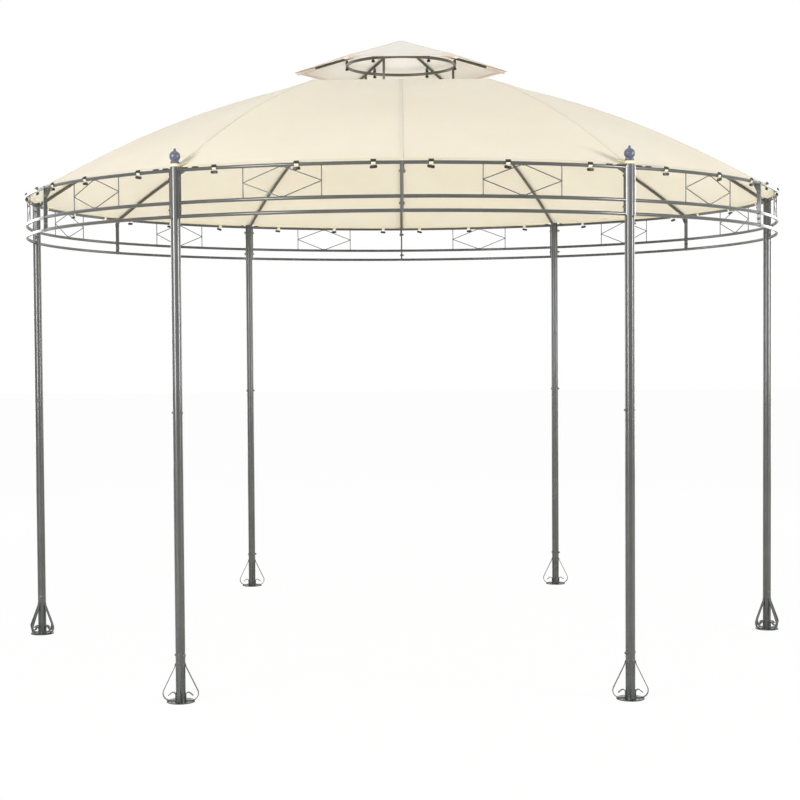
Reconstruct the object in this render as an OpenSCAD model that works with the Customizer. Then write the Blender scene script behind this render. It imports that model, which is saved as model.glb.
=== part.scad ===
// Round steel garden gazebo: six posts on scroll feet, a ring of twelve
// curved rail panels, twelve bowed roof ribs, a fabric roof and a raised
// fabric cap over the vent. Millimetres, +Z up. The origin is on the floor
// under the centre of the ring; one side between two posts faces -Y.

/* [Ring and posts] */
// Radius of the circle through the post centres
ring_r = 1750; // [1400:10:2200]
// Height of the post tops above the floor
post_h = 2072; // [1800:1:2500]
// Outer diameter of the post tubes
post_d = 38; // [32:1:50]
// Wall thickness of the post tubes
post_wall = 1.2; // [1:0.1:2.5]
// Height at which the lower and upper post halves meet
post_split_z = 1085; // [700:5:1300]
// Length of the spigot that joins the two post halves
spigot_len = 80; // [50:5:140]

/* [Rail panels] */
// Diameter of the three curved rails
rail_d = 14; // [10:1:20]
// Depth of the top rail's centre below the post tops
rail_drop = 13; // [11:1:30]
// Distance from the top rail down to the middle rail
rail_gap_upper = 125; // [80:1:200]
// Distance from the middle rail down to the lowest rail
rail_gap_lower = 53; // [40:1:90]
// Radial width of the flat bars that close each panel
bar_w = 16; // [12:1:24]
// Thickness of those flat bars
bar_t = 4; // [3:0.5:6]
// Diameter of the ornamental wires
wire_d = 4; // [3:0.5:8]
// Angle from a panel's middle to each upright wire
wire_angle = 5.1; // [3:0.1:8]
// Radius of every bolt hole in the frame
bolt_hole_r = 3.3; // [2.6:0.1:4.2]
// Depth of the upper panel bolts below the top rail
bolt_drop = 32; // [24:1:50]

/* [Feet] */
// Diameter of the foot plates
plate_d = 110; // [96:1:150]
// Thickness of the foot plates
plate_t = 4; // [3:0.5:8]
// Radius of the ground peg holes
peg_hole_r = 4.5; // [3:0.5:7]
// Diameter of the circle through the peg holes
peg_circle_d = 84; // [74:1:110]
// Distance from the post axis to the belly of a scroll strap
scroll_reach = 69; // [60:1:90]
// Radius of the scroll strap's belly
scroll_belly_r = 28; // [20:1:32]
// Lean of the scroll strap's straight part from upright
scroll_lean = 26; // [20:1:32]
// Width of the scroll strap
strap_w = 12; // [8:1:16]
// Thickness of the scroll strap
strap_t = 3; // [2:0.5:4]
// Height of the foot bolt above the top of the foot tube
foot_bolt_rise = 30; // [20:1:50]

/* [Roof frame] */
// Rise of the fabric's knuckle line, where the roof flattens, above the eave
knuckle_rise = 481.5; // [400:0.5:600]
// Distance from the axis to a corner of the knuckle line
knuckle_r = 767; // [600:1:900]
// Outward bow of each rib, measured from its chord
rib_bulge = 40; // [20:1:80]
// Diameter of the rib tubes
rib_d = 14; // [12:1:20]
// Wall thickness of the rib tubes
rib_wall = 1.2; // [1:0.1:1.5]
// Diameter of the six bars along the knuckle line
hex_bar_d = 12; // [8:1:12]
// Rise of the crown ring above the knuckle line
crown_rise = 46; // [30:1:80]
// Radius of the crown ring and of the vent ring above it
crown_r = 257; // [200:1:320]
// Diameter of the crown ring and vent ring tube
crown_d = 14; // [12:1:18]
// Height of the vent ring above the crown ring
vent_rise = 134; // [110:1:200]
// Diameter of the three struts that carry the vent ring
strut_d = 12; // [8:1:13]
// Turn of the struts around the ring
strut_turn = 12; // [0:1:25]

/* [Cap frame] */
// Rise of the cap's fabric peak above the vent ring
cap_rise = 120.2; // [110:0.1:200]
// Distance from the axis to a corner of the cap
cap_r = 509; // [450:1:650]
// Fall of the cap from its peak to a corner
cap_fall = 149; // [120:1:175]
// Diameter of the cap's arms
arm_d = 12; // [10:1:14]
// Distance from the axis to an arm's tip
arm_reach = 446; // [400:1:447]
// Diameter of the hub where the arms meet
hub_d = 56; // [40:1:80]
// Height of the hub
hub_h = 16; // [12:1:24]

/* [Finials] */
// Diameter of the finial's ball
ball_d = 45; // [38:1:60]
// Height of the finial above its pad
finial_h = 59; // [50:1:80]
// Depth of the plug inside the post
plug_len = 25; // [15:1:40]
// Height of the fabric pad under the finial
pad_h = 12.6; // [6:0.2:20]

/* [Fabric] */
// Modelled thickness of the fabric
canopy_t = 2.5; // [2:0.1:4]
// Distance from the axis to a corner of the roof's vent opening
vent_corner_r = 410; // [330:1:480]
// Width of the fabric ties around the top rail
tie_w = 14; // [8:1:20]
// Thickness of the fabric ties
tie_t = 1.5; // [1:0.5:3]

/* [Hidden] */
POST_NAMES = ["right", "back_right", "back_left", "left", "front_left", "front_right"];
PANEL_COUNT = 12;
FOOT_NAMES = [for (p = POST_NAMES) str("foot_", p)];
LOWER_NAMES = [for (p = POST_NAMES) str("lower_post_", p)];
UPPER_NAMES = [for (p = POST_NAMES) str("upper_post_", p)];
PANEL_NAMES = [for (i = [1:PANEL_COUNT]) str("ring_panel_", i)];
$fn = 48;

// Clearances
slide_gap = 0.1;      // radial gap of a post spigot in its tube
plug_gap = 0.2;       // radial gap of a finial plug
seat_gap = 0.2;       // gap between faces that meet
stub_gap = 0.3;       // radial gap of a rib tube on its stub
soft_gap = 0.7;       // gap between fabric and the tube that holds it up
weld = 0.5;           // depth to which welded pieces run into each other

// Posts stand every 60 degrees, counted from +X; panels span 30 degrees
sector = 60;
half_sector = sector / 2;
// Turn of each foot's scrolls, one value per post
foot_turn = [30, 0, 0, 60, 0, 0];

// Rails and bolts
rail_top_z = post_h - rail_drop;
rail_mid_z = rail_top_z - rail_gap_upper;
rail_low_z = rail_mid_z - rail_gap_lower;
bolt_top_z = rail_top_z - bolt_drop;
bolt_low_z = (rail_mid_z + rail_low_z) / 2;
split_bolt_z = post_split_z + spigot_len / 2;
hook_hole_drop = 10;
hook_hole_z = rail_low_z - hook_hole_drop;
bar_end = rail_d / 2 - 1;
bar_post_y = post_d / 2 + seat_gap;
bar_joint_y = seat_gap / 2;

// Scroll strap centre line: distance from the post axis, height
strap_in = post_d / 2 + strap_t / 2 - weld;
belly_c = [scroll_reach - scroll_belly_r, plate_t + strap_t / 2 + scroll_belly_r - weld / 2];
flare_r = 40;
heel_r = 6;
curl_r = 10;
curl_h = 23;
curl_stop = 50;
curl_tail = 16;
flare_end_r = strap_in + flare_r * (1 - cos(scroll_lean));
belly_in = belly_c + scroll_belly_r * [cos(scroll_lean), sin(scroll_lean)];
flare_top_z = belly_in[1] + (belly_in[0] - flare_end_r) / tan(scroll_lean) + flare_r * sin(scroll_lean);
foot_h = flare_top_z + 2;
foot_bolt_z = foot_h + foot_bolt_rise;
foot_spigot_over = 46;
foot_spigot_z = foot_bolt_z + foot_spigot_over;
spigot_d = post_d - 2 * post_wall - 2 * slide_gap;
spigot_wall = 1.2;
spigot_id = spigot_d - 2 * spigot_wall;

// Roof ribs: an arc in the radial plane through the eave and the knuckle.
// The outer face of the fabric follows the arc; the tube lies inside it.
// The fabric's hem tucks in just inside the top rail.
rib_pull = canopy_t + soft_gap + rib_d / 2;
eave = [ring_r, rail_top_z + 1];
knuckle_z = eave[1] + knuckle_rise;
eave_slope = 33;
hem_r = ring_r - rail_d / 2 - 1;
post_top = [knuckle_r, knuckle_z];
mid_top = [knuckle_r * cos(half_sector), knuckle_z];

function arc_radius(a, b, bulge) = (norm(b - a) * norm(b - a) / 4 + bulge * bulge) / (2 * bulge);
function arc_centre(a, b, bulge) =
    let (d = (b - a) / norm(b - a))
    (a + b) / 2 - [d[1], -d[0]] * (arc_radius(a, b, bulge) - bulge);
function angle_at(c, p) = atan2(p[1] - c[1], p[0] - c[0]);
function on_arc(c, r, angle) = c + r * [cos(angle), sin(angle)];

post_c = arc_centre(eave, post_top, rib_bulge);
post_rho = arc_radius(eave, post_top, rib_bulge);
mid_c = arc_centre(eave, mid_top, rib_bulge);
mid_rho = arc_radius(eave, mid_top, rib_bulge);
post_knuckle = on_arc(post_c, post_rho - rib_pull, angle_at(post_c, post_top));
mid_knuckle = on_arc(mid_c, mid_rho - rib_pull, angle_at(mid_c, mid_top));

stub_d = rib_d - 2 * rib_wall - 2 * stub_gap;
stub_len = 30;

// Crown and cap
crown_z = post_knuckle[1] + crown_rise;
crown_slope = atan(crown_rise / (post_knuckle[0] - crown_r));
vent_z = crown_z + vent_rise;
cap_peak_z = vent_z + cap_rise;
vent_hem_z = knuckle_z + (knuckle_r - vent_corner_r) * tan(crown_slope);
cap_slope = atan(cap_fall / cap_r);
cap_t_z = canopy_t / cos(cap_slope);
arm_z0 = cap_peak_z - cap_t_z - (arm_d / 2 + soft_gap) / cos(cap_slope);
hub_top_z = cap_peak_z - cap_t_z - hub_d / 2 * tan(cap_slope) / cos(half_sector) - soft_gap;
arm_in = hub_d / 4; // where an arm starts, inside the hub

// Fabric grid: rows from the eave to the knuckle, then to the vent opening
arc_rows = 10;
flat_rows = 2;
notch = post_d / 2 - (ring_r - hem_r) + 5;
column_steps = [0, 0.85, 1.1, 7.5, 15, 22.5];

// Ties, as angles from the nearest post, and the arc of rail each wraps
tie_angles = [6, 17, 26.5];
tie_from = -160;
tie_arc = 230;

module at_post(k) rotate([0, 0, sector * k]) translate([ring_r, 0, 0]) children();

// Round bar from one point to another
module rod(a, b, d) {
    v = b - a;
    translate(a)
        rotate([0, acos(v[2] / norm(v)), atan2(v[1], v[0])])
            cylinder(h = norm(v), d = d);
}

// Hole along Y through a point
module cross_hole(x, z, length, y = 0)
    translate([x, y, z]) rotate([90, 0, 0]) cylinder(h = length, r = bolt_hole_r, center = true);

module tube(d, bore, z0, z1)
    translate([0, 0, z0])
        difference() {
            cylinder(h = z1 - z0, d = d);
            translate([0, 0, -1]) cylinder(h = z1 - z0 + 2, d = bore);
        }

// Bent tube in the X-Z plane between two angles, counted from +X to +Z
module bent_tube(c, r, from, to, d, wall)
    translate([c[0], 0, c[1]])
        rotate([90, 0, 0])
            rotate([0, 0, from])
                rotate_extrude(angle = to - from)
                    translate([r, 0])
                        difference() {
                            circle(d = d);
                            circle(d = d - 2 * wall);
                        }

// ---- feet ----

function arc_points(c, r, from, to, steps) =
    [for (i = [0:steps]) on_arc(c, r, from + (to - from) * i / steps)];

// Centre line of a scroll strap, from the top of the foot tube to the curl
strap_line = concat(
    arc_points([strap_in + flare_r, flare_top_z], flare_r, 180, 180 + scroll_lean, 4),
    arc_points(belly_c, scroll_belly_r, scroll_lean, -90, 12),
    arc_points([strap_in + heel_r, belly_c[1] - scroll_belly_r + heel_r], heel_r, -90, -180, 4),
    arc_points([strap_in + curl_r, plate_t + curl_h], curl_r, 180, curl_stop, 8),
    [on_arc([strap_in + curl_r, plate_t + curl_h], curl_r, curl_stop)
        + curl_tail * [sin(curl_stop), -cos(curl_stop)]]);

function heading(line, i) =
    let (a = line[max(i - 1, 0)], b = line[min(i + 1, len(line) - 1)]) (b - a) / norm(b - a);
function beside(line, i, side) =
    let (h = heading(line, i)) line[i] + side * [h[1], -h[0]];

module scroll_strap() {
    last = len(strap_line) - 1;
    outline = concat(
        [for (i = [0:last]) beside(strap_line, i, strap_t / 2)],
        [for (i = [last:-1:0]) beside(strap_line, i, -strap_t / 2)]);
    rotate([90, 0, 0])
        linear_extrude(height = strap_w, center = true)
            polygon(outline);
}

module foot(k) color("dimgray")
    at_post(k)
        difference() {
            union() {
                cylinder(h = plate_t, d = plate_d);
                cylinder(h = foot_h, d = post_d);
                cylinder(h = foot_spigot_z, d = spigot_d);
                rotate([0, 0, foot_turn[k] - sector * k])
                    for (i = [0:3]) rotate([0, 0, 90 * i]) scroll_strap();
            }
            translate([0, 0, plate_t]) cylinder(h = foot_spigot_z, d = spigot_id);
            cross_hole(0, foot_bolt_z, post_d + 2);
            rotate([0, 0, foot_turn[k] - sector * k])
                for (i = [0:3])
                    rotate([0, 0, 90 * i + 45])
                        translate([peg_circle_d / 2, 0, -1])
                            cylinder(h = plate_t + 2, r = peg_hole_r);
        }

// ---- posts ----

module lower_post(k) color("dimgray")
    at_post(k)
        difference() {
            union() {
                tube(post_d, post_d - 2 * post_wall, foot_h + seat_gap, post_split_z);
                tube(post_d - post_wall, spigot_id, post_split_z - spigot_len / 2, post_split_z);
                tube(spigot_d, spigot_id, post_split_z - weld, post_split_z + spigot_len);
            }
            cross_hole(0, foot_bolt_z, post_d + 2);
            cross_hole(0, split_bolt_z, post_d + 2);
        }

rib_foot_slope = 90 - acos((ring_r - post_d / 2 - post_c[0]) / (post_rho - rib_pull));
rib_foot_r = ring_r - post_d / 2 - rib_d / 2 * sin(rib_foot_slope) - seat_gap;
rib_foot_angle = acos((rib_foot_r - post_c[0]) / (post_rho - rib_pull));
rib_foot = on_arc(post_c, post_rho - rib_pull, rib_foot_angle);

module upper_post(k) color("gray")
    difference() {
        union() {
            at_post(k)
                translate([0, 0, post_split_z + seat_gap])
                    cylinder(h = post_h - post_split_z - seat_gap, d = post_d);
            rotate([0, 0, sector * k]) rib_stub(post_c, rib_foot, rib_foot_angle, -post_d / 2, stub_len);
        }
        at_post(k) translate([0, 0, post_split_z - 1]) cylinder(h = post_h, d = post_d - 2 * post_wall);
        at_post(k)
            for (z = [split_bolt_z, bolt_low_z, bolt_top_z]) cross_hole(0, z, post_d + 2);
        at_post(k)
            translate([0, 0, hook_hole_z])
                rotate([0, 90, 0])
                    cylinder(h = post_d, r = bolt_hole_r);
    }

// Straight stub along a rib, from before its end to inside it; lengths
// run from the rib's end, positive towards the crown
module rib_stub(c, end, angle, from, to) {
    way = [-sin(angle), cos(angle)];
    a = end + from * way;
    b = end + to * way;
    rod([a[0], 0, a[1]], [b[0], 0, b[1]], stub_d);
}

// ---- ring panels ----

module panel_bar(y0)
    translate([ring_r - bar_w / 2, y0, rail_low_z - bar_end])
        cube([bar_w, bar_t, rail_top_z - rail_low_z + 2 * bar_end]);

// Point on the ring circle
function ring_point(angle, z) = [ring_r * cos(angle), ring_r * sin(angle), z];

// Panel from a post (at 0 degrees) to the joint half a sector on
module half_panel() {
    from = asin((bar_post_y + bar_t / 2) / ring_r);
    to = half_sector - asin((bar_joint_y + bar_t / 2) / ring_r);
    middle = half_sector / 2;
    wire_mid_z = (rail_top_z + rail_mid_z) / 2;
    upright_d = wire_d + 0.4;
    nip = 0.6; // each slanting wire ends this far from the one it would meet
    nip_angle = 2 * nip / ring_r * 180 / PI;
    difference() {
        union() {
            for (z = [rail_top_z, rail_mid_z, rail_low_z])
                translate([0, 0, z])
                    rotate([0, 0, from])
                        rotate_extrude(angle = to - from)
                            translate([ring_r, 0]) circle(d = rail_d);
            panel_bar(bar_post_y);
            rotate([0, 0, half_sector]) panel_bar(-bar_joint_y - bar_t);
            for (side = [-1, 1]) {
                a = middle + side * wire_angle;
                foot = middle + side * nip_angle;
                rod(ring_point(a, rail_mid_z), ring_point(a, rail_top_z), upright_d);
                rod(ring_point(foot, rail_mid_z + wire_d), ring_point(a, wire_mid_z - nip), wire_d);
                rod(ring_point(foot, rail_top_z - wire_d), ring_point(a, wire_mid_z + nip), wire_d);
            }
        }
        for (z = [bolt_low_z, bolt_top_z]) {
            cross_hole(ring_r, z, 3 * bar_t, bar_post_y + bar_t / 2);
            rotate([0, 0, half_sector]) cross_hole(ring_r, z, 3 * bar_t, -bar_joint_y - bar_t / 2);
        }
    }
}

module ring_panel(i) color("gray")
    rotate([0, 0, sector * floor(i / 2)])
        if (i % 2 == 0) half_panel();
        else rotate([0, 0, sector]) mirror([0, 1, 0]) half_panel();

// ---- finials and corner pads ----

module finials() color("slategray")
    for (k = [0:5])
        at_post(k) {
            base = post_h + seat_gap + pad_h + seat_gap;
            ball_z = 30;
            ring_r1 = 18;
            ring_h = 9;
            knob_r = 5;
            neck_r = 8;
            shoulder_r = 4;
            turn_in = 40; // angle up the ball at which it draws in to the knob
            rotate_extrude()
                polygon(concat(
                    [[0, post_h - plug_len], [post_d / 2 - post_wall - plug_gap, post_h - plug_len],
                     [post_d / 2 - post_wall - plug_gap, post_h], [neck_r, post_h], [neck_r, base],
                     [ring_r1 - 0.5, base], [ring_r1, base + 1], [ring_r1, base + ring_h - 1],
                     [ring_r1 - 1, base + ring_h]],
                    [for (a = [-48:8:turn_in])
                        [ball_d / 2 * cos(a), base + ball_z + ball_d / 2 * sin(a)]],
                    [for (t = [0.25:0.25:1])
                        [ball_d / 2 * cos(turn_in) + (shoulder_r - ball_d / 2 * cos(turn_in)) * t,
                         base + ball_z + ball_d / 2 * sin(turn_in)
                            + (finial_h - 2 * knob_r - ball_z - ball_d / 2 * sin(turn_in) + 1) * t * t]],
                    [for (a = [-45:15:90]) [knob_r * cos(a), base + finial_h - knob_r + knob_r * sin(a)]]));
        }

pad_bore = 17;

module corner_pads() color("cornsilk")
    for (k = [0:5])
        at_post(k) tube(post_d, pad_bore, post_h + seat_gap, post_h + seat_gap + pad_h);

// ---- roof frame ----

module post_ribs() color("dimgray")
    for (k = [0:5])
        rotate([0, 0, sector * k]) {
            top = angle_at(post_c, post_top);
            bend = post_rho - rib_pull;
            clear = (rib_d / 2 + seat_gap) / bend * 180 / PI;
            bent_tube(post_c, bend, rib_foot_angle, top - clear, rib_d, rib_wall);
        }

mid_foot_r = ring_r - bar_w / 2 - rib_d / 2 * sin(eave_slope) - seat_gap;
tab_y = bar_joint_y + bar_t + seat_gap;
tab_t = 3;
tab_reach = 14; // how far the tab runs in under the rib's end
collar_len = 17; // solid collar on the rib's end, which the tab is welded to

module mid_ribs() color("dimgray")
    for (k = [0:5])
        rotate([0, 0, sector * k + half_sector]) {
            bend = mid_rho - rib_pull;
            foot_angle = acos((mid_foot_r - mid_c[0]) / bend);
            end = on_arc(mid_c, bend, foot_angle);
            top = angle_at(mid_c, mid_top);
            clear = (hex_bar_d / 2 + seat_gap) / bend * 180 / PI;
            bent_tube(mid_c, bend, foot_angle, top - clear, rib_d, rib_wall);
            way = [-sin(foot_angle), 0, cos(foot_angle)];
            foot = [end[0], 0, end[1]];
            rod(foot + way, foot + collar_len * way, rib_d + 1);
            difference() {
                translate([0, tab_y + tab_t, 0])
                    rotate([90, 0, 0])
                        linear_extrude(height = tab_t)
                            polygon([
                                [ring_r - bar_w / 2, bolt_top_z - bar_w / 2],
                                [ring_r + bar_w / 2, bolt_top_z - bar_w / 2],
                                [ring_r + bar_w / 2, bolt_top_z + bar_w / 2],
                                [end[0] - 4, end[1] + 2],
                                [end[0] - tab_reach, end[1] + 4],
                                [end[0] - tab_reach, end[1] - 4]]);
                cross_hole(ring_r, bolt_top_z, 3 * tab_t, tab_y + tab_t / 2);
            }
        }

module knuckle_hexagon() color("dimgray")
    for (k = [0:5])
        rotate([0, 0, sector * k]) {
            corner = [post_knuckle[0], 0, post_knuckle[1]];
            next = [post_knuckle[0] * cos(sector), post_knuckle[0] * sin(sector), post_knuckle[1]];
            rod(corner, next, hex_bar_d);
            translate(corner) sphere(d = rib_d);
            rib_stub(post_c, post_knuckle, angle_at(post_c, post_top), -stub_len, 0);
            rod(corner, corner + stub_len * [-cos(crown_slope), 0, sin(crown_slope)], stub_d);
            rotate([0, 0, half_sector])
                rib_stub(mid_c, [post_knuckle[0] * cos(half_sector), post_knuckle[1]],
                    angle_at(mid_c, mid_top), -stub_len, 0);
        }

module crown_arms() color("dimgray")
    for (k = [0:5])
        rotate([0, 0, sector * k]) {
            way = [-cos(crown_slope), 0, sin(crown_slope)];
            corner = [post_knuckle[0], 0, post_knuckle[1]];
            run = (post_knuckle[0] - crown_r) / cos(crown_slope);
            clear = (hex_bar_d / 2 + seat_gap + rib_d / 2 * cos(sector)) / sin(sector);
            difference() {
                rod(corner + clear * way,
                    corner + (run - crown_d / 2 - seat_gap) * way, rib_d);
                rod(corner, corner + run * way, rib_d - 2 * rib_wall);
            }
        }

module ring_tube(r, d, z)
    translate([0, 0, z]) rotate_extrude() translate([r, 0]) circle(d = d);

module crown() color("dimgray") {
    out = [cos(crown_slope), 0, -sin(crown_slope)];
    saddle_z = arm_z0 - (crown_r + strut_d / 2) * tan(cap_slope) - arm_d / 2 / cos(cap_slope) - seat_gap;
    ring_tube(crown_r, crown_d, crown_z);
    ring_tube(crown_r, crown_d, vent_z);
    for (k = [0:5])
        rotate([0, 0, sector * k]) {
            rod([crown_r, 0, crown_z], [crown_r, 0, crown_z] + stub_len * out, stub_d);
            translate([crown_r, 0, vent_z]) cylinder(h = saddle_z - vent_z, d = strut_d);
        }
    for (k = [0:2])
        rotate([0, 0, 120 * k + strut_turn])
            translate([crown_r, 0, crown_z]) cylinder(h = vent_rise, d = strut_d);
}

module cap_frame() color("dimgray") {
    translate([0, 0, hub_top_z - hub_h]) cylinder(h = hub_h, d = hub_d);
    for (k = [0:5])
        rotate([0, 0, sector * k])
            rod([arm_in, 0, arm_z0 - arm_in * tan(cap_slope)],
                [arm_reach, 0, arm_z0 - arm_reach * tan(cap_slope)], arm_d);
}

// ---- fabric ----

// Column angles over one sector, mirrored about the mid rib
column_angles = concat(column_steps, [half_sector],
    [for (i = [len(column_steps) - 1:-1:1]) sector - column_steps[i]]);
columns = 6 * len(column_angles);
rows = arc_rows + flat_rows;

// Fabric point at row i and column j, depth measured in from the outer face
function rib_point(c, rho, top, share, depth) =
    let (hem = acos((hem_r - c[0]) / rho))
    on_arc(c, rho - depth, hem + (angle_at(c, top) - hem) * share);
function chord_r(ra, rb, fold) = ra * rb * sin(half_sector) / (ra * sin(fold) + rb * sin(half_sector - fold));
function roof_point(i, j, depth) =
    let (
        turn = column_angles[j % len(column_angles)],
        angle = sector * floor(j / len(column_angles)) + turn,
        fold = min(turn, sector - turn),
        share = min(i / arc_rows, 1),
        flat = max(i - arc_rows, 0) / flat_rows,
        a = rib_point(post_c, post_rho, post_top, share, depth),
        b = rib_point(mid_c, mid_rho, mid_top, share, depth),
        ra = a[0] + (vent_corner_r - a[0]) * flat,
        rb = b[0] + (vent_corner_r * cos(half_sector) - b[0]) * flat,
        za = a[1] + (vent_hem_z - depth - a[1]) * flat,
        zb = b[1] + (vent_hem_z - depth - b[1]) * flat,
        chord = chord_r(ra, rb, fold),
        round_r = ra + (rb - ra) * fold / half_sector,
        r0 = chord + (round_r - chord) * pow(1 - share, 2),
        across = chord * sin(fold) / (rb * sin(half_sector)),
        at_notch = i == 0 && fold < 1,
        r = at_notch ? r0 - notch : r0,
        z = za + (zb - za) * across + (at_notch ? notch * tan(eave_slope) : 0))
    [r * cos(angle), r * sin(angle), z];

function at(i, j) = i * columns + j % columns;

module roof_canopy() color("cornsilk") {
    outer = [for (i = [0:rows], j = [0:columns - 1]) roof_point(i, j, 0)];
    inner = [for (i = [0:rows], j = [0:columns - 1]) roof_point(i, j, canopy_t)];
    shift = len(outer);
    polyhedron(
        points = concat(outer, inner),
        faces = concat(
            [for (i = [0:rows - 1], j = [0:columns - 1]) each [
                [at(i, j), at(i + 1, j), at(i + 1, j + 1)],
                [at(i, j), at(i + 1, j + 1), at(i, j + 1)],
                [shift + at(i, j), shift + at(i + 1, j + 1), shift + at(i + 1, j)],
                [shift + at(i, j), shift + at(i, j + 1), shift + at(i + 1, j + 1)]]],
            [for (j = [0:columns - 1]) each [
                [at(0, j), at(0, j + 1), shift + at(0, j + 1)],
                [at(0, j), shift + at(0, j + 1), shift + at(0, j)],
                [at(rows, j), shift + at(rows, j + 1), at(rows, j + 1)],
                [at(rows, j), shift + at(rows, j), shift + at(rows, j + 1)]]]));
}

module canopy_ties() color("ivory")
    for (k = [0:5], side = [-1, 1], turn = tie_angles)
        rotate([0, 0, sector * k + side * turn])
            translate([ring_r, 0, rail_top_z])
                rotate([90, 0, 0])
                    rotate([0, 0, tie_from])
                        rotate_extrude(angle = tie_arc)
                            translate([rail_d / 2 + seat_gap, -tie_w / 2]) square([tie_t, tie_w]);

module cap_canopy() color("cornsilk") {
    corner = [for (k = [0:5]) [cap_r * cos(sector * k), cap_r * sin(sector * k), cap_peak_z - cap_fall]];
    points = concat([[0, 0, cap_peak_z]], corner,
        [[0, 0, cap_peak_z - cap_t_z]], [for (p = corner) p - [0, 0, cap_t_z]]);
    polyhedron(
        points = points,
        faces = [for (k = [0:5]) let (a = 1 + k, b = 1 + (k + 1) % 6) each [
            [0, b, a], [7, 7 + a, 7 + b], [a, b, 7 + b], [a, 7 + b, 7 + a]]]);
}

for (k = [0:5]) {
    foot(k);
    lower_post(k);
    upper_post(k);
}
for (i = [0:PANEL_COUNT - 1])
    ring_panel(i);
finials();
post_ribs();
mid_ribs();
knuckle_hexagon();
crown_arms();
crown();
cap_frame();
roof_canopy();
corner_pads();
canopy_ties();
cap_canopy();
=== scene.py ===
"""Round steel garden gazebo with a polyester roof and a raised vent cap.

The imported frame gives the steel. This file gives every surface its finish, and
adds the fabric, the finials, the bolts, the weld beads and the roof's ties.
"""
import math

import bmesh
import bpy
from mathutils import Matrix, Vector, noise


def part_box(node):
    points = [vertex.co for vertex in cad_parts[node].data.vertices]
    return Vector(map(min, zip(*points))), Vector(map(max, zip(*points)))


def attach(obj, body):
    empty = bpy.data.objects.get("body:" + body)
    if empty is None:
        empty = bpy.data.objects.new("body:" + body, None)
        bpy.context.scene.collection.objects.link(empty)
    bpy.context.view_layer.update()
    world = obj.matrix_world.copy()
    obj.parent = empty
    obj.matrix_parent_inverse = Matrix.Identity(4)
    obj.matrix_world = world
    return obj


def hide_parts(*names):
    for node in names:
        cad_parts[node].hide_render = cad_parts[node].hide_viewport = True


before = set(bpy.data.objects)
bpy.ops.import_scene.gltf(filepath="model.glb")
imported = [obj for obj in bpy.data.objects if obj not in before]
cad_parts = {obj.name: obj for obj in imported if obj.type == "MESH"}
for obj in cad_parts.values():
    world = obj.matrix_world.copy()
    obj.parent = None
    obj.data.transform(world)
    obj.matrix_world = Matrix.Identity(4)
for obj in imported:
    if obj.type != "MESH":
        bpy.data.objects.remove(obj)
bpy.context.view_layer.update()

# ---- camera ----
# A standing viewer's camera, about six metres from the near side of the ring.
eye = Vector((-0.0126, -7.756, 1.3845))
yaw, pitch, roll = (math.radians(a) for a in (-0.016, -1.976, -0.382))
forward = Vector((math.sin(yaw) * math.cos(pitch), math.cos(yaw) * math.cos(pitch), math.sin(pitch)))
level = Vector((math.cos(yaw), -math.sin(yaw), 0))
upward = level.cross(forward)
across = math.cos(roll) * level + math.sin(roll) * upward
above = -math.sin(roll) * level + math.cos(roll) * upward
camera_data = bpy.data.cameras.new("camera")
camera_data.sensor_width = 36
camera_data.lens = 72.64
camera = bpy.data.objects.new("camera", camera_data)
camera.matrix_world = Matrix.Translation(eye) @ Matrix((across, above, -forward)).transposed().to_4x4()
bpy.context.collection.objects.link(camera)
bpy.context.scene.camera = camera
bpy.context.scene.view_settings.view_transform = "Standard"


# ---- studio ----
# A white room with a pale floor. A tall softbox stands at each side in front, so
# tubes carry two upright bands of light. Two more stand behind, a weak one fills
# from the front and a wide one hangs above. The light that a white floor throws
# up under the roof is a lamp of its own, which the camera doesn't see.
def add(tree, kind, values=(), links=()):
    """Add a node, set its own settings or its inputs' values, and link its inputs."""
    made = tree.nodes.new(kind)
    for key, value in dict(values).items():
        if isinstance(key, str) and hasattr(made, key):
            setattr(made, key, value)
        else:
            made.inputs[key].default_value = value
    for key, source in dict(links).items():
        tree.links.new(source, made.inputs[key])
    return made


def paint(text):
    """Linear colour of an sRGB hex value."""
    parts = [int(text[i:i + 2], 16) / 255 for i in (0, 2, 4)]
    return (*(c / 12.92 if c <= 0.04045 else ((c + 0.055) / 1.055) ** 2.4 for c in parts), 1)


FLOOR_GLOW = 0.97  # share of plain white in the floor that the camera sees

world = bpy.data.worlds.new("studio")
bpy.context.scene.world = world
world.use_nodes = True
world.node_tree.nodes.clear()
ambient = add(world.node_tree, "ShaderNodeBackground", {"Color": paint("fbfaf6"), "Strength": 0.48})
white = add(world.node_tree, "ShaderNodeBackground", {"Color": (1, 1, 1, 1), "Strength": 1.0})
ray = add(world.node_tree, "ShaderNodeLightPath")
mirrored = add(world.node_tree, "ShaderNodeMath", {"operation": "MAXIMUM"},
               {0: ray.outputs["Is Camera Ray"], 1: ray.outputs["Is Glossy Ray"]})
shown_white = add(world.node_tree, "ShaderNodeMath", {"operation": "MAXIMUM"},
                  {0: mirrored.outputs[0], 1: ray.outputs["Is Transmission Ray"]})
room = add(world.node_tree, "ShaderNodeMixShader", (),
           {0: shown_white.outputs[0], 1: ambient.outputs[0], 2: white.outputs[0]})
add(world.node_tree, "ShaderNodeOutputWorld", (), {"Surface": room.outputs[0]})

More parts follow.
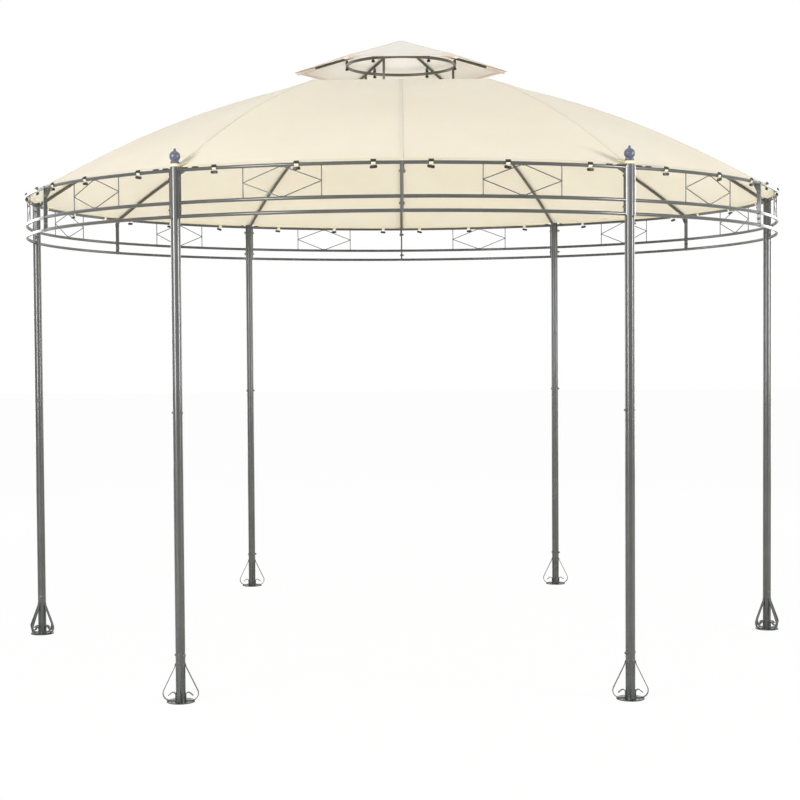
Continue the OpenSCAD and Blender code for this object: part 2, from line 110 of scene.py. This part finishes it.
floor_paint = bpy.data.materials.new("matt studio floor")
floor_paint.use_nodes = True
floor_paint.node_tree.nodes.clear()
matt = add(floor_paint.node_tree, "ShaderNodeBsdfDiffuse", {"Color": paint("f4f4f2")})
glow = add(floor_paint.node_tree, "ShaderNodeEmission", {"Color": (1, 1, 1, 1), "Strength": 1.0})
floor_ray = add(floor_paint.node_tree, "ShaderNodeLightPath")
lift = add(floor_paint.node_tree, "ShaderNodeMath", {"operation": "MULTIPLY", 1: FLOOR_GLOW},
           {0: floor_ray.outputs["Is Camera Ray"]})
floor_mix = add(floor_paint.node_tree, "ShaderNodeMixShader", (),
                {0: lift.outputs[0], 1: matt.outputs[0], 2: glow.outputs[0]})
add(floor_paint.node_tree, "ShaderNodeOutputMaterial", (), {"Surface": floor_mix.outputs[0]})
floor_mesh = bpy.data.meshes.new("studio_floor")
floor_grid = bmesh.new()
bmesh.ops.create_grid(floor_grid, x_segments=1, y_segments=1, size=40)
floor_grid.to_mesh(floor_mesh)
floor_grid.free()
floor_mesh.materials.append(floor_paint)
floor = bpy.data.objects.new("studio_floor", floor_mesh)
bpy.context.collection.objects.link(floor)


def softbox(name, place, aim, size, watts):
    """A rectangular area lamp at a place, facing a point."""
    lamp = bpy.data.lights.new(name, "AREA")
    lamp.shape = "RECTANGLE"
    lamp.size, lamp.size_y = size
    lamp.energy = watts
    holder = bpy.data.objects.new(name, lamp)
    holder.location = place
    holder.rotation_euler = (Vector(aim) - Vector(place)).to_track_quat("-Z", "Y").to_euler()
    bpy.context.collection.objects.link(holder)
    return holder


softbox("left_softbox", (-4.2, -6.0, 2.4), (0, 0, 1.6), (1.7, 3.0), 310)
softbox("right_softbox", (6.3, -4.1, 2.4), (0, 0, 1.6), (1.2, 3.0), 290)
softbox("front_softbox", (0, -9.5, 3.0), (0, 0, 1.8), (3.0, 1.2), 24)
softbox("overhead_softbox", (-0.5, -1.5, 7.5), (0, 0, 2.4), (6.0, 6.0), 44)
softbox("back_left_softbox", (-5.4, 5.2, 2.0), (0, 0, 1.4), (1.8, 3.4), 110)
softbox("back_right_softbox", (5.4, 5.2, 2.0), (0, 0, 1.4), (1.8, 3.4), 110)
bounce = softbox("floor_bounce", (0, 0, 0.02), (0, 0, 1), (6.0, 6.0), 38)
bounce.visible_camera = False
bounce.visible_glossy = False


# ---- finishes: what they share ----
def blank_finish(name):
    """An empty material, its node tree and a place on the object in metres."""
    made = bpy.data.materials.new(name)
    made.use_nodes = True
    made.node_tree.nodes.clear()
    place = add(made.node_tree, "ShaderNodeTexCoord").outputs["Object"]
    return made, made.node_tree, place


def two_tone(tree, cloud, first, second, margin):
    """Run from one colour to another across a noise, level for a margin at each end."""
    tone = add(tree, "ShaderNodeValToRGB", (), {"Fac": cloud.outputs["Fac"]})
    for stop, share, colour in zip(tone.color_ramp.elements, (margin, 1 - margin), (first, second)):
        stop.position = share
        stop.color = paint(colour)
    return tone.outputs["Color"]


# ---- powder-coated steel ----
# The frame is welded steel tube under a charcoal polyester powder coat, baked
# glossy: an even grey with a faint orange peel and two crisp bands of light.
def powder_coat(name, dark, light, roughness):
    """Powder coat: two close greys in broad clouds, and an orange peel about 2 mm across."""
    made, tree, place = blank_finish(name)
    cloud = add(tree, "ShaderNodeTexNoise", {"Scale": 9.0, "Detail": 3.0}, {"Vector": place})
    peel = add(tree, "ShaderNodeTexNoise", {"Scale": 480.0, "Detail": 1.0}, {"Vector": place})
    bump = add(tree, "ShaderNodeBump", {"Strength": 0.06, "Distance": 0.0004},
               {"Height": peel.outputs["Fac"]})
    coat = add(tree, "ShaderNodeBsdfPrincipled",
               {"Roughness": roughness, "IOR": 1.5, "Coat Weight": 0.6, "Coat Roughness": 0.12},
               {"Base Color": two_tone(tree, cloud, dark, light, 0.35), "Normal": bump.outputs["Normal"]})
    add(tree, "ShaderNodeOutputMaterial", (), {"Surface": coat.outputs[0]})
    return made


post_coat = powder_coat("powder-coated steel", "3d3e3d", "444544", 0.3)
foot_coat = powder_coat("powder-coated steel, foot castings", "363a39", "3f4342", 0.34)
# Every other part, the roof tubes and the cap frame under the cloth, gets a warmer, lighter grey of the
# same charcoal coat: painted warm light from the cream cloth over them.
canopy_lit_rib_coat = powder_coat("powder-coated steel, roof tubes, painted canopy light", "4a4738", "524f3f", 0.36)
coats = {"foot": foot_coat, "lower": post_coat, "upper": post_coat, "ring": post_coat}
for name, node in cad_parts.items():
    for holder in node.material_slots:
        holder.material = coats.get(name.split("_")[0], canopy_lit_rib_coat)


# ---- bolts ----
# Zinc-dipped M6 carriage bolts painted with the frame: a domed head on one
# side, a washer and a domed cap nut on the other. They join the two bars of
# neighbouring panels, through the post where there is one, and pin the tubes.
post_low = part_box("upper_post_right")[0]
plate_low, plate_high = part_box("foot_right")
rail_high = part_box("ring_panel_1")[1]
ring_r = (plate_low.x + plate_high.x) / 2
lower_low, lower_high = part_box("lower_post_right")
post_r = (lower_high.x - lower_low.x) / 2
rail_r = 0.007
rail_z = rail_high.z - rail_r
rail_heights = (rail_z, rail_z - 0.125, rail_z - 0.178)
bar_thick = 0.004
bar_gap = 0.0002
bar_face = post_r + bar_gap + bar_thick
upper_bolt_drop = 0.032
panel_bolt_heights = (rail_z - upper_bolt_drop, (rail_heights[1] + rail_heights[2]) / 2)
foot_bolt_z = lower_low.z + 0.0298
split_bolt_z = post_low.z + 0.0398
joint_bar_face = 0.0041
joint_tab_face = 0.0073
SECTOR = 60  # degrees from post to post
HALF = SECTOR / 2  # from a post to the joint between two panels


def turned(profile, steps, loop=False):
    """A bmesh of (radius, height) points spun round Z."""
    made = bmesh.new()
    points = [made.verts.new((r, 0, z)) for r, z in profile]
    pairs = list(zip(points, points[1:])) + ([(points[-1], points[0])] if loop else [])
    edges = [made.edges.new(pair) for pair in pairs]
    bmesh.ops.spin(made, geom=points + edges, cent=(0, 0, 0), axis=(0, 0, 1),
                   angle=math.tau, steps=steps, use_merge=True)
    bmesh.ops.remove_doubles(made, verts=made.verts, dist=1e-6)
    bmesh.ops.recalc_face_normals(made, faces=made.faces)
    return made


def round_z(degrees):
    """A turn about the gazebo's middle."""
    return Matrix.Rotation(math.radians(degrees), 4, "Z")


def at_ring(degrees, height, sideways=0.0):
    """Place on the ring circle: X points outward and Y along the ring."""
    return round_z(degrees) @ Matrix.Translation((ring_r, sideways, height))


ALONG_RING = Matrix.Rotation(math.radians(-90), 4, "X")  # turns +Z to +Y


def piece(name, parts, finish, crease):
    """One mesh piece out of (bmesh, places) pairs, sharp where it turns by more than crease degrees."""
    whole = bmesh.new()
    for part, places in parts:
        for place in places:
            spare = bpy.data.meshes.new("spare")
            part.to_mesh(spare)
            spare.transform(place)
            whole.from_mesh(spare)
            bpy.data.meshes.remove(spare)
        part.free()
    mesh = bpy.data.meshes.new(name)
    whole.to_mesh(mesh)
    whole.free()
    mesh.shade_smooth()
    mesh.set_sharp_from_angle(angle=math.radians(crease))
    mesh.materials.append(finish)
    made = bpy.data.objects.new(name, mesh)
    bpy.context.collection.objects.link(made)
    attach(made, "root")
    return made


def bolt(grip):
    """Domed head over z = 0, shank down through the grip, washer and cap nut under it."""
    return [
        turned([(0, 0.0052), (0.0026, 0.0049), (0.0049, 0.004), (0.0066, 0.0024), (0.0073, 0.0008),
                (0.0074, 0), (0.003, 0), (0.003, -grip), (0.0068, -grip),
                (0.0068, -grip - 0.001), (0.0026, -grip - 0.001), (0, -grip - 0.001)], 20),
        turned([(0, -grip - 0.001), (0.0054, -grip - 0.001), (0.0057, -grip - 0.0016),
                (0.0057, -grip - 0.0048), (0.0052, -grip - 0.0056)], 6),
        turned([(0.0046, -grip - 0.005), (0.0043, -grip - 0.007), (0.0032, -grip - 0.0087),
                (0.0016, -grip - 0.0096), (0, -grip - 0.0098)], 16)]


def bolts(name, grip, places):
    """One piece that holds a bolt of the same grip at each place."""
    return piece(name, [(part, places) for part in bolt(grip)], bolt_zinc, 30)


bolt_zinc = powder_coat("painted zinc bolts", "4a4b4a", "585958", 0.3)
post_turns = [SECTOR * k for k in range(6)]
bolts("post_panel_bolts", 2 * bar_face,
      [at_ring(turn, z, bar_face) @ ALONG_RING for turn in post_turns for z in panel_bolt_heights])
bolts("joint_panel_bolts", joint_tab_face + joint_bar_face,
      [at_ring(turn + HALF, panel_bolt_heights[0], joint_tab_face) @ ALONG_RING for turn in post_turns])
bolts("joint_lower_bolts", 2 * joint_bar_face,
      [at_ring(turn + HALF, panel_bolt_heights[1], joint_bar_face) @ ALONG_RING for turn in post_turns])
bolts("post_sleeve_bolts", 2 * post_r,
      [at_ring(turn, z, post_r) @ ALONG_RING for turn in post_turns for z in (foot_bolt_z, split_bolt_z)])


# ---- weld beads and tube rims ----
# Each rail is welded to its flat bars, and each wire to the rails and to its
# neighbours, with a small round bead that the powder coat has filled smooth.
wire_turn = 5.1  # degrees from a panel's middle to its uprights
panel_middles = [HALF / 2 + HALF * n for n in range(12)]


def bead(major, minor, steps=14, sides=6):
    """A welded fillet: a thin ring round Z."""
    return turned([(major + minor * math.cos(math.tau * i / sides), minor * math.sin(math.tau * i / sides))
                   for i in range(sides)], steps, loop=True)


def drop(stretch=(1, 1, 1)):
    """A small smooth drop of weld, 6.4 mm across before it is stretched."""
    made = bmesh.new()
    bmesh.ops.create_icosphere(made, subdivisions=2, radius=0.0032)
    bmesh.ops.scale(made, vec=stretch, verts=made.verts)
    return made


def bead_places(turn, off_middle):
    """Where the three rails of the panels on each side of a turn meet their bars."""
    tilt = math.degrees(math.asin(off_middle / ring_r))
    return [at_ring(turn + side * tilt, z) @ ALONG_RING for side in (-1, 1) for z in rail_heights]


rail_ends = []
for turn in post_turns:
    rail_ends += bead_places(turn, post_r + bar_thick)
    rail_ends += bead_places(turn + HALF, joint_bar_face + bar_gap)
under_top_rail = rail_z - rail_r
over_middle_rail = rail_heights[1] + rail_r
wire_mid_z = (rail_heights[0] + rail_heights[1]) / 2
wire_knots = [at_ring(middle + side * wire_turn, z) for middle in panel_middles
              for z in (wire_mid_z, under_top_rail, over_middle_rail) for side in (-1, 1)]
wire_feet = [at_ring(middle, z) for middle in panel_middles for z in (under_top_rail, over_middle_rail)]
piece("panel_welds",
      [(bead(rail_r - 0.0001, 0.0011), rail_ends), (drop(), wire_knots), (drop((1, 2.6, 0.9)), wire_feet)],
      post_coat, 80)
piece("foot_welds",
      [(bead(post_r, 0.0022, 32, 8), [at_ring(turn, plate_low.z + 0.0042) for turn in post_turns])],
      foot_coat, 80)
rim_line = [(post_r - 0.0004, 0), (post_r + 0.0001, 0.0003), (post_r + 0.0005, 0.0012),
            (post_r + 0.0003, 0.0022), (post_r - 0.0004, 0.0028)]
lower_rim = turned([(r, -z) for r, z in reversed(rim_line)], 48)
upper_rim = turned(rim_line, 48)
seam_heights = (post_low.z - 0.0001, lower_low.z - 0.0001)
seam_places = [at_ring(turn, z) for turn in post_turns for z in seam_heights]
piece("post_joint_rims", [(lower_rim, seam_places), (upper_rim, seam_places)], post_coat, 80)


# ---- finials ----
# Blow-moulded ABS balls on the post tops, slate blue-grey and glossy: a base
# ring, a ball, and an ogee drawn up to a small knob. A plug holds each one.
def plain_gloss(name, colour, roughness, mottle, coat=0.0):
    """Moulded plastic: one colour with faint flow marks about 12 mm across."""
    made, tree, place = blank_finish(name)
    flow = add(tree, "ShaderNodeTexNoise", {"Scale": 80.0, "Detail": 2.0}, {"Vector": place})
    fine = add(tree, "ShaderNodeTexNoise", {"Scale": 900.0, "Detail": 1.0}, {"Vector": place})
    bump = add(tree, "ShaderNodeBump", {"Strength": 0.04, "Distance": 0.0002},
               {"Height": fine.outputs["Fac"]})
    skin = add(tree, "ShaderNodeBsdfPrincipled",
               {"Roughness": roughness, "IOR": 1.53, "Coat Weight": coat, "Coat Roughness": 0.05},
               {"Base Color": two_tone(tree, flow, mottle, colour, 0.3), "Normal": bump.outputs["Normal"]})
    add(tree, "ShaderNodeOutputMaterial", (), {"Surface": skin.outputs[0]})
    return made


finial_abs = plain_gloss("glossy ABS", "54586c", 0.18, "4b4f62", 0.5)
finial_h = 0.059
finial_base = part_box("finials")[1].z - finial_h
ball_r = 0.0218
ball_z = 0.0285
ball_arc = (-48, 32)
knob_r = 0.0056
finial_line = [(0, -0.012), (0.008, -0.012), (0.008, 0), (0.0172, 0), (0.018, 0.001), (0.018, 0.0065),
               (0.0172, 0.0078), (0.0160, 0.0084), (0.0150, 0.0102)]
finial_line += [(ball_r * math.cos(math.radians(a)), ball_z + ball_r * math.sin(math.radians(a)))
                for a in range(ball_arc[0], ball_arc[1] + 1, 8)]
finial_line += [(0.0136, 0.0447), (0.0098, 0.0475), (0.0072, 0.0488), (0.0053, 0.0499)]
finial_line += [(knob_r * math.cos(math.radians(a)), finial_h - knob_r + knob_r * math.sin(math.radians(a)))
                for a in range(-30, 90, 15)]
finial_line.append((0, finial_h))
finials = piece("post_finials",
                [(turned(finial_line, 40), [at_ring(turn, finial_base) for turn in post_turns])],
                finial_abs, 50)
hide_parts("finials")


# ---- roof canopy ----
# PVC-backed polyester in twelve gores, sewn over the ribs and held down by
# ties: one taut cream sheet that bows over the ribs, breaks at the knuckle
# and lies flatter up to the vent. Light comes through it, warmer below.
def coated_polyester(name, pale, deep, glow_mm, thread_mm):
    """Woven and coated cloth; the thread spacing is drawn coarser than the real 0.5 mm so it can show."""
    made, tree, place = blank_finish(name)
    cloud = add(tree, "ShaderNodeTexNoise", {"Scale": 2.2, "Detail": 4.0}, {"Vector": place})
    cloth = add(tree, "ShaderNodeTexCoord").outputs["UV"]
    turns = 1000 / thread_mm / 6.283  # bands per metre, over the wave texture's full turn
    weft = add(tree, "ShaderNodeTexWave", {"wave_type": "BANDS", "bands_direction": "X", "Scale": turns},
               {"Vector": cloth})
    warp = add(tree, "ShaderNodeTexWave", {"wave_type": "BANDS", "bands_direction": "Y", "Scale": turns},
               {"Vector": cloth})
    weave = add(tree, "ShaderNodeMath", {"operation": "ADD"},
                {0: weft.outputs["Fac"], 1: warp.outputs["Fac"]})
    bump = add(tree, "ShaderNodeBump", {"Strength": 0.12, "Distance": 0.0006},
               {"Height": weave.outputs[0]})
    skin = add(tree, "ShaderNodeBsdfPrincipled",
               {"Roughness": 0.72, "IOR": 1.45, "Sheen Weight": 0.15, "Sheen Roughness": 0.5,
                "Subsurface Weight": 0.7, "Subsurface Radius": (1.0, 0.86, 0.6),
                "Subsurface Scale": glow_mm / 1000},
               {"Base Color": two_tone(tree, cloud, deep, pale, 0.3), "Normal": bump.outputs["Normal"]})
    add(tree, "ShaderNodeOutputMaterial", (), {"Surface": skin.outputs[0]})
    return made


canopy_cloth = coated_polyester("coated polyester", "e6dece", "e1d9c7", 2.6, 3.0)
# The seams are real doubled cloth, but their slightly darker, yellower tone is painted shade along the rib
# lines.
shaded_seam_cloth = coated_polyester("coated polyester, doubled seam, painted shade", "e3dcc8", "ddd5c0", 1.2, 3.0)
hem_cloth = coated_polyester("coated polyester, folded hem", "ede5c9", "e9e0bf", 1.2, 3.0)

# Points of the rib's line are (distance from the middle, height). Slopes and
# the notch's half width and fade are in degrees.
CLOTH = 0.0012
hem_r = ring_r - 0.008
vent_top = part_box("roof_canopy")[1].z
eave = Vector((ring_r, rail_z + 0.001))
knuckle_rise = 0.4815
knuckle = Vector((0.767, eave.y + knuckle_rise))
vent_corner_r = 0.410
bulge = 0.040
slack_depth = 0.007
crease_depth = 0.003
notch_depth = 0.016
notch_half = 0.95
notch_fade = 0.25
slope_at_hem = 38
slope_at_knuckle = 22
slope_above = 6


def rib_arc(top):
    """Centre and radius of the arc from the eave up to a knuckle point."""
    chord = top - eave
    way = chord.normalized()
    radius = (chord.length ** 2 / 4 + bulge ** 2) / (2 * bulge)
    return (eave + top) / 2 - Vector((way.y, -way.x)) * (radius - bulge), radius


def rib_place(top, share):
    """Point of a rib's line, from the hem at 0 to the knuckle at 1."""
    centre, radius = rib_arc(top)
    hem = math.acos((hem_r - centre.x) / radius)
    end = math.atan2(top.y - centre.y, top.x - centre.x)
    angle = hem + (end - hem) * share
    return centre + radius * Vector((math.cos(angle), math.sin(angle)))


def roof_at(turn, share, flat=0.0, lift=0.0):
    """Outer face of the roof: share runs up the bowed gore, flat from the knuckle to the vent.

    Between the ribs the sheet sags and creases a little. At a post the hem has a notch.
    """
    fold = turn % SECTOR
    fold = min(fold, SECTOR - fold)
    a = rib_place(knuckle, share)
    b = rib_place(Vector((knuckle.x * math.cos(math.radians(HALF)), knuckle.y)), share)
    ra = a.x + (vent_corner_r - a.x) * flat
    rb = b.x + (vent_corner_r * math.cos(math.radians(HALF)) - b.x) * flat
    za, zb = (z + (vent_top - z) * flat for z in (a.y, b.y))
    f, h = math.radians(fold), math.radians(HALF)
    chord = ra * rb * math.sin(h) / (ra * math.sin(f) + rb * math.sin(h - f))
    bowed = ra + (rb - ra) * fold / HALF
    r = chord + (bowed - chord) * (1 - share) ** 2
    z = za + (zb - za) * chord * math.sin(f) / (rb * math.sin(h))
    between = math.sin(math.pi * fold / HALF)
    sag = math.sin(math.pi * share) if flat == 0 else 0.6 * math.sin(math.pi * flat)
    near_hem = (1 - share) ** 3 if flat == 0 else 0
    ripple = noise.noise(Vector((turn * 0.35, share * 2.0, 3.1))) * min(1, 4 * share)
    past_notch = max(0.0, fold - notch_half) / notch_fade
    notch = notch_depth * max(0.0, 1 - share * 30) * max(0.0, 1 - past_notch)
    arc_slope = slope_at_hem + (slope_at_knuckle - slope_at_hem) * share
    slope = math.radians(arc_slope if flat == 0 else slope_above)
    slack = slack_depth * sag * (1 - 0.5 * near_hem)
    inward = between * (slack + crease_depth * ripple * (1 - near_hem)) - lift
    r -= inward * math.sin(slope) + notch
    z -= inward * math.cos(slope) - notch * math.tan(math.radians(33))
    return Vector((r * math.cos(math.radians(turn)), r * math.sin(math.radians(turn)), z))


def draped_sheet(name, columns, rows, place, metres, thickness, finish):
    """A grid laid over a surface: place takes (u, v) from 0 to 1, which span metres of the cloth."""
    made = bmesh.new()
    made.loops.layers.uv.new("cloth")
    bmesh.ops.create_grid(made, x_segments=columns, y_segments=rows, size=0.5, calc_uvs=True)
    layer = made.loops.layers.uv.active
    for face in made.faces:
        for loop in face.loops:
            loop[layer].uv = (loop[layer].uv[0] * metres[0], loop[layer].uv[1] * metres[1])
    for vert in made.verts:
        vert.co = place(vert.co.x + 0.5, vert.co.y + 0.5)
    bmesh.ops.remove_doubles(made, verts=made.verts, dist=2e-5)
    bmesh.ops.recalc_face_normals(made, faces=made.faces)
    made.faces.ensure_lookup_table()
    if sum(face.normal.z for face in made.faces) < 0:
        bmesh.ops.reverse_faces(made, faces=made.faces)
    sheet = piece(name, [(made, [Matrix.Identity(4)])], finish, 60)
    thick = sheet.modifiers.new("thickness", "SOLIDIFY")
    thick.thickness = thickness
    thick.offset = -1
    return sheet


ARC_ROWS = 40
FLAT_ROWS = 10
arc_share = ARC_ROWS / (ARC_ROWS + FLAT_ROWS)


def roof_sheet_place(u, v):
    """Rows close up towards the hem, where the corner notches are."""
    if v <= arc_share:
        return roof_at(360 * u, (v / arc_share) ** 1.25)
    return roof_at(360 * u, 1, (v - arc_share) / (1 - arc_share))


roof = draped_sheet("roof_sheet", 360, ARC_ROWS + FLAT_ROWS, roof_sheet_place, (7.5, 1.5), CLOTH,
                    canopy_cloth)
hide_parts("roof_canopy")

# The seams lie over the ribs: two gores lapped and sewn down flat, 11 mm wide.
seam_w = 0.011


def seam_strips():
    """Twelve narrow strips from the hem to the vent, standing 1 mm proud of the sheet."""
    for n in range(12):
        def place(u, v, turn=HALF * n):
            share, flat = (v / arc_share, 0.0) if v <= arc_share else (1, (v - arc_share) / (1 - arc_share))
            middle = roof_at(turn, share, flat)
            aside = math.degrees((u - 0.5) * seam_w / middle.xy.length)
            return roof_at(turn + aside, share, flat, 0.001)
        yield draped_sheet(f"gore_seam_{n + 1}", 2, 50, place, (seam_w, 1.5), 0.0012, shaded_seam_cloth)


seams = list(seam_strips())
eave_hem = draped_sheet("eave_hem", 360, 2, lambda u, v: roof_at(360 * u, 0.016 * v, 0.0, 0.0009),
                        (10.9, 0.024), 0.0026, hem_cloth)
vent_hem = draped_sheet("vent_hem", 72, 1, lambda u, v: roof_at(360 * u, 1, 0.93 + 0.07 * v, 0.0009),
                        (2.4, 0.03), 0.0026, hem_cloth)


# ---- post corner collars ----
# At each post the hem has a folded ear with a punched hole. The finial's plug
# goes down through the hole, so the ear is pinched into a soft round collar.
pad_low, pad_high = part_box("corner_pads")
collar_h = pad_high.z - pad_low.z
collar_r = 0.0186
collar_profile = [(0.0095, 0.0014), (0.0165, 0.0004), (0.0182, 0.0014), (collar_r, 0.0036),
                  (0.0176, 0.0052), (0.0185, 0.0066), (0.0184, 0.0094), (0.0172, collar_h - 0.0006),
                  (0.0095, collar_h - 0.0004)]
collar = turned(collar_profile, 40, loop=True)
for vert in collar.verts:
    about = math.atan2(vert.co.y, vert.co.x)
    pull = 0.0005 * math.sin(3 * about + 400 * vert.co.z) + 0.0003 * math.sin(7 * about)
    vert.co.xy *= 1 - abs(pull) / collar_r
ear = bmesh.new()
bmesh.ops.create_grid(ear, x_segments=8, y_segments=8, size=0.5)
for vert in ear.verts:
    inward, sideways = vert.co.x + 0.5, vert.co.y * 2
    half = 0.0165 + 0.012 * inward
    vert.co = (-0.012 - 0.030 * inward, sideways * half,
               0.0075 + 0.0145 * inward - 0.0022 * sideways ** 2 + 0.0006 * math.cos(9 * sideways))
bmesh.ops.recalc_face_normals(ear, faces=ear.faces)
bmesh.ops.solidify(ear, geom=ear.faces[:], thickness=0.0022)
collar_places = [at_ring(turn, pad_low.z) for turn in post_turns]
collars = piece("corner_collars", [(collar, collar_places), (ear, collar_places)],
                hem_cloth, 60)
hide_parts("corner_pads")


# ---- roof ties ----
# Six ties in each bay hold the hem down to the top rail: a loop of cream
# webbing, a black acetal buckle on top of the rail and a toggle under it.
# Two flat black tabs lie on the rail at each side of a post.
webbing = coated_polyester("polypropylene webbing", "f3eccb", "ece3bd", 1.0, 2.0)
black_acetal = plain_gloss("black acetal", "121212", 0.34, "0c0c0c")
loop_r = 0.0082
loop_w = 0.016


def rounded_block(length, width, height, soften=0.0012):
    """A moulded block with softened edges: X across the rail, Y along it."""
    made = bmesh.new()
    bmesh.ops.create_cube(made, size=1)
    bmesh.ops.scale(made, vec=(width, length, height), verts=made.verts)
    bmesh.ops.bevel(made, geom=made.edges[:], offset=soften, offset_type="OFFSET", segments=2,
                    profile=0.5, affect="EDGES", material=-1)
    return made


def webbing_loop():
    """A flat band round the rail, with its two ends rising together to the hem."""
    made = bmesh.new()
    steps = [math.radians(a) for a in range(-200, 131, 15)]
    line = [Vector((loop_r * math.cos(a), loop_r * math.sin(a))) for a in steps]
    line = [Vector((-0.0105, 0.0085)), *line, Vector((-0.0098, 0.0092))]
    previous = None
    for point in line:
        pair = [made.verts.new((point.x, side * loop_w / 2, point.y)) for side in (-1, 1)]
        if previous:
            made.faces.new((*previous, pair[1], pair[0]))
        previous = pair
    bmesh.ops.recalc_face_normals(made, faces=made.faces)
    bmesh.ops.solidify(made, geom=made.faces[:], thickness=0.0009)
    return made


ties = [(post + side * turn, side) for post in post_turns for side in (-1, 1) for turn in (6, 17, 26.5)]
buckle_out = 0.0108
buckle_lean = 40
sway_most = 9
loop_places, buckle_places, toggle_places = [], [], []
for count, (turn, side) in enumerate(ties):
    seat = at_ring(turn, rail_z)
    sway = sway_most * noise.noise(Vector((count * 1.7, 0.3, 0.9)))
    loop_places.append(seat)
    lean = Matrix.Rotation(math.radians(-buckle_lean - sway), 4, "Y")
    buckle_places.append(seat @ lean @ Matrix.Translation((buckle_out, 0, 0)))
    hang = Matrix.Translation((0.004 + 0.002 * sway / sway_most, 0.003 * sway / sway_most, -0.0165))
    toggle_places.append(seat @ hang @ Matrix.Rotation(math.radians(2.2 * sway + 5 * side), 4, "X"))
tab_h = 0.0032
tab_places = [at_ring(post + side * turn, rail_z + rail_r + tab_h / 2) for post in post_turns
              for side in (-1, 1) for turn in (1.5, 3.1)]
loops = piece("tie_loops", [(webbing_loop(), loop_places)], webbing, 50)
buckles = piece("tie_buckles",
                [(rounded_block(0.021, 0.0046, 0.0125), buckle_places),
                 (rounded_block(0.014, 0.0064, 0.0034, 0.0008), buckle_places),
                 (rounded_block(0.026, 0.010, tab_h), tab_places)],
                black_acetal, 40)
toggles = piece("tie_toggles",
                [(rounded_block(0.029, 0.010, 0.0115, 0.0038), toggle_places),
                 (rounded_block(0.010, 0.0125, 0.006, 0.0014), toggle_places)],
                black_acetal, 40)
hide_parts("canopy_ties")


# ---- cap canopy ----
# A smaller six-sided polyester cap over the vent. It is sewn from six gores,
# hemmed with a straight edge, and a pocket at each corner takes an arm's tip.
# cap_rise is how far the peak stands above that edge.
cap_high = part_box("cap_canopy")[1]
cap_r = cap_high.x
cap_peak = cap_high.z
cap_rise = 0.149
cap_cloth = coated_polyester("coated polyester, cap", "fbf3ec", "f7ece3", 2.2, 3.0)
pocket_cloth = coated_polyester("coated polyester, cap pocket", "f2e4d8", "ebd9ca", 1.2, 3.0)


def cap_at(turn, run, lift=0.0):
    """Outer face of the cap, from the peak at 0 to the straight edge at 1."""
    fold = turn % SECTOR
    fold = min(fold, SECTOR - fold)
    edge = cap_r * math.cos(math.radians(HALF)) / math.cos(math.radians(HALF - fold))
    dip = 0.005 * math.sin(math.pi * fold / SECTOR) * math.sin(math.pi * min(run, 1)) - lift
    wave = 0.0012 * noise.noise(Vector((turn * 0.2, run * 3, 7.7))) * run * (1 - run) * 4
    r = edge * run
    return Vector((r * math.cos(math.radians(turn)), r * math.sin(math.radians(turn)),
                   cap_peak - cap_rise * run - dip - abs(wave)))


cap = draped_sheet("cap_sheet", 144, 24, lambda u, v: cap_at(360 * u, v), (3.0, 0.5), CLOTH, cap_cloth)
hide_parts("cap_canopy")
cap_hem = draped_sheet("cap_hem", 144, 1, lambda u, v: cap_at(360 * u, 0.955 + 0.045 * v, 0.0006),
                       (3.0, 0.022), 0.0024, pocket_cloth)
cap_seam_w = 0.010


def cap_seam_strips():
    """Six lapped seams from the peak to the corners."""
    for n in range(6):
        def place(u, v, turn=SECTOR * n):
            run = 0.02 + 0.98 * v
            aside = math.degrees(math.atan2((u - 0.5) * cap_seam_w, cap_r * run))
            return cap_at(turn + aside, run, 0.0009)
        yield draped_sheet(f"cap_seam_{n + 1}", 2, 24, place, (cap_seam_w, 0.5), 0.0012, shaded_seam_cloth)


cap_seams = list(cap_seam_strips())
pouch_at = 0.452
pouch_long = 0.092
pouch_drop = 0.0098
arm_drop = math.atan2(cap_rise, cap_r)
pouch = bmesh.new()
bmesh.ops.create_cone(pouch, cap_ends=True, segments=24, radius1=0.027, radius2=0.0125, depth=pouch_long)
lengthwise = [edge for edge in pouch.edges if abs(edge.verts[0].co.z - edge.verts[1].co.z) > 0.01]
bmesh.ops.subdivide_edges(pouch, edges=lengthwise, cuts=6)
for vert in pouch.verts:
    about = math.atan2(vert.co.y, vert.co.x)
    share = vert.co.z / pouch_long + 0.5
    flat_by = 0.40 + 0.10 * share
    ripple = 1 + 0.07 * math.sin(5 * about + 9 * share) * (1 - share)
    vert.co.x *= flat_by * ripple
    vert.co.y *= ripple
bmesh.ops.recalc_face_normals(pouch, faces=pouch.faces)
to_arm = (Matrix.Translation((pouch_at, 0, cap_peak - cap_rise * pouch_at / cap_r - pouch_drop))
          @ Matrix.Rotation(math.radians(90) + arm_drop, 4, "Y"))
pockets = piece("cap_pockets", [(pouch, [round_z(turn) @ to_arm for turn in post_turns])],
                pocket_cloth, 50)


# ---- crown knobs ----
# A black moulded hand knob under the vent ring holds each saddle of the cap
# frame down on it, and a short black sleeve goes round the rod above the ring.
crown_r = 0.257
crown_drop = 0.1202
vent_z = cap_peak - crown_drop
knob_black = plain_gloss("black nylon", "151515", 0.4, "0e0e0e")
knob = turned([(0, -0.0205), (0.005, -0.0205), (0.0078, -0.019), (0.0085, -0.0165), (0.0085, -0.0125),
               (0.0072, -0.0105), (0.0045, -0.0095), (0.0045, -0.0066), (0, -0.0066)], 20)
sleeve = turned([(0.0062, 0), (0.0072, 0.0006), (0.0074, 0.002), (0.0074, 0.0085), (0.0062, 0.0095)], 20)
piece("crown_knobs",
      [(knob, [round_z(turn) @ Matrix.Translation((crown_r, 0, vent_z)) for turn in post_turns]),
       (sleeve, [round_z(turn) @ Matrix.Translation((crown_r, 0, vent_z + 0.008)) for turn in post_turns])],
      knob_black, 40)
